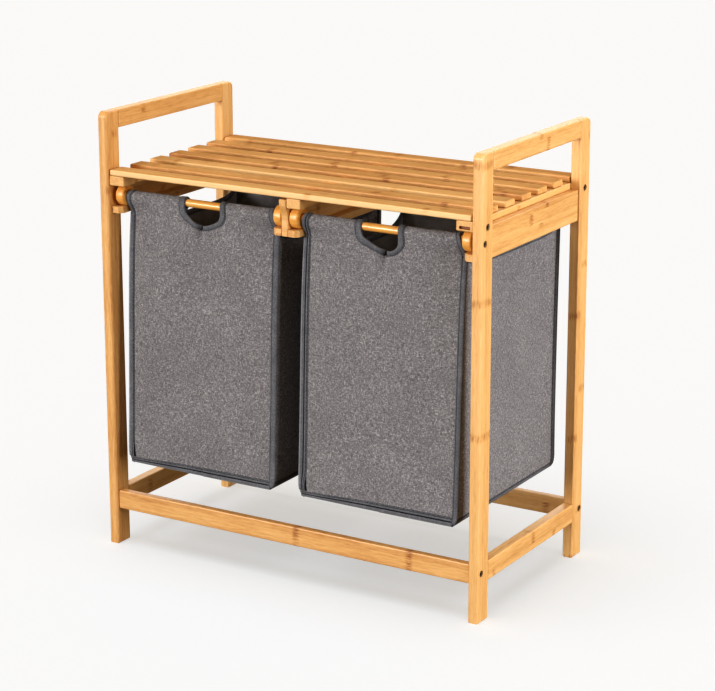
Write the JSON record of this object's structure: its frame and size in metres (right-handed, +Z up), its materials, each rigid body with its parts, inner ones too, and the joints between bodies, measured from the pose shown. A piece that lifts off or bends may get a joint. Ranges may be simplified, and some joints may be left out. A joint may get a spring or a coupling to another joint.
{
  "type": "laundry sorter",
  "caption": "Bamboo laundry sorter: slatted shelf between two raised handle frames, with pull-out fabric bags hung side by side on rods with wooden roller discs.",
  "frame": {"origin": "middle of the footprint, on the floor under the legs", "axes": "+Z up, front towards -Y, +X to the right seen from the front"},
  "size_m": [0.64, 0.33, 0.67],
  "materials": {
    "bamboo_frame": "clear satin lacquer over honey bamboo",
    "bamboo_shelf": "clear satin lacquer over honey bamboo",
    "bamboo_roller": "clear satin lacquer, turned",
    "bag_cloth": "coarse melange weave, dark lining inside",
    "bolt_steel": "dark plated socket head"
  },
  "bodies": {
    "stand": {"leg_front_left": "bamboo_frame", "leg_front_right": "bamboo_frame", "leg_rear_left": "bamboo_frame", "leg_rear_right": "bamboo_frame", "handle_rail_left": "bamboo_frame", "handle_rail_right": "bamboo_frame", "side_rail_low_left": "bamboo_frame", "side_rail_low_right": "bamboo_frame", "side_rail_high_left": "bamboo_frame", "side_rail_high_right": "bamboo_frame", "front_cross_rail": "bamboo_frame", "rear_cross_rail": "bamboo_frame", "slat_1": "bamboo_shelf", "slat_2": "bamboo_shelf", "slat_3": "bamboo_shelf", "slat_4": "bamboo_shelf", "slat_5": "bamboo_shelf", "slat_6": "bamboo_shelf", "slat_7": "bamboo_shelf", "batten_left": "bamboo_shelf", "batten_right": "bamboo_shelf", "batten_middle": "bamboo_shelf", "divider_web": "bamboo_shelf", "track_left_outer": "bamboo_shelf", "track_left_inner": "bamboo_shelf", "track_right_outer": "bamboo_shelf", "track_right_inner": "bamboo_shelf", "bolt_left_1": "bolt_steel", "bolt_left_2": "bolt_steel", "bolt_left_3": "bolt_steel", "bolt_left_4": "bolt_steel", "bolt_left_5": "bolt_steel", "bolt_right_1": "bolt_steel", "bolt_right_2": "bolt_steel", "bolt_right_3": "bolt_steel", "bolt_right_4": "bolt_steel", "bolt_right_5": "bolt_steel"},
    "left_bag": {"left_bag_front_panel": "bag_cloth", "left_bag_back_panel": "bag_cloth", "left_bag_side_left": "bag_cloth", "left_bag_side_right": "bag_cloth", "left_bag_bottom": "bag_cloth"},
    "left_front_roller": {"left_front_rod": "bamboo_roller", "left_front_disc_left": "bamboo_roller", "left_front_disc_right": "bamboo_roller"},
    "left_rear_roller": {"left_rear_rod": "bamboo_roller", "left_rear_disc_left": "bamboo_roller", "left_rear_disc_right": "bamboo_roller"},
    "right_bag": {"right_bag_front_panel": "bag_cloth", "right_bag_back_panel": "bag_cloth", "right_bag_side_left": "bag_cloth", "right_bag_side_right": "bag_cloth", "right_bag_bottom": "bag_cloth"},
    "right_front_roller": {"right_front_rod": "bamboo_roller", "right_front_disc_left": "bamboo_roller", "right_front_disc_right": "bamboo_roller"},
    "right_rear_roller": {"right_rear_rod": "bamboo_roller", "right_rear_disc_left": "bamboo_roller", "right_rear_disc_right": "bamboo_roller"}
  },
  "joints": [
    {"name": "left_bag_slide", "type": "slide", "parent": "stand", "child": "left_bag", "axis": [0, -1, 0], "range_m": [0, 0.25]},
    {"name": "left_front_roller_spin", "type": "hinge", "parent": "left_bag", "child": "left_front_roller", "pos_m": [-0.152, -0.142, 0.5449], "axis": [1, 0, 0], "range_deg": [0, 930]},
    {"name": "left_rear_roller_spin", "type": "hinge", "parent": "left_bag", "child": "left_rear_roller", "pos_m": [-0.152, 0.142, 0.5449], "axis": [1, 0, 0], "range_deg": [0, 930]},
    {"name": "right_bag_slide", "type": "slide", "parent": "stand", "child": "right_bag", "axis": [0, -1, 0], "range_m": [0, 0.25]},
    {"name": "right_front_roller_spin", "type": "hinge", "parent": "right_bag", "child": "right_front_roller", "pos_m": [0.152, -0.142, 0.5449], "axis": [1, 0, 0], "range_deg": [0, 930]},
    {"name": "right_rear_roller_spin", "type": "hinge", "parent": "right_bag", "child": "right_rear_roller", "pos_m": [0.152, 0.142, 0.5449], "axis": [1, 0, 0], "range_deg": [0, 930]}
  ],
  "couplings": [
    {"joint": "left_front_roller_spin", "follows": "left_bag_slide", "rad_per_m": 64.516},
    {"joint": "left_rear_roller_spin", "follows": "left_bag_slide", "rad_per_m": 64.516},
    {"joint": "right_front_roller_spin", "follows": "right_bag_slide", "rad_per_m": 64.516},
    {"joint": "right_rear_roller_spin", "follows": "right_bag_slide", "rad_per_m": 64.516}
  ]
}
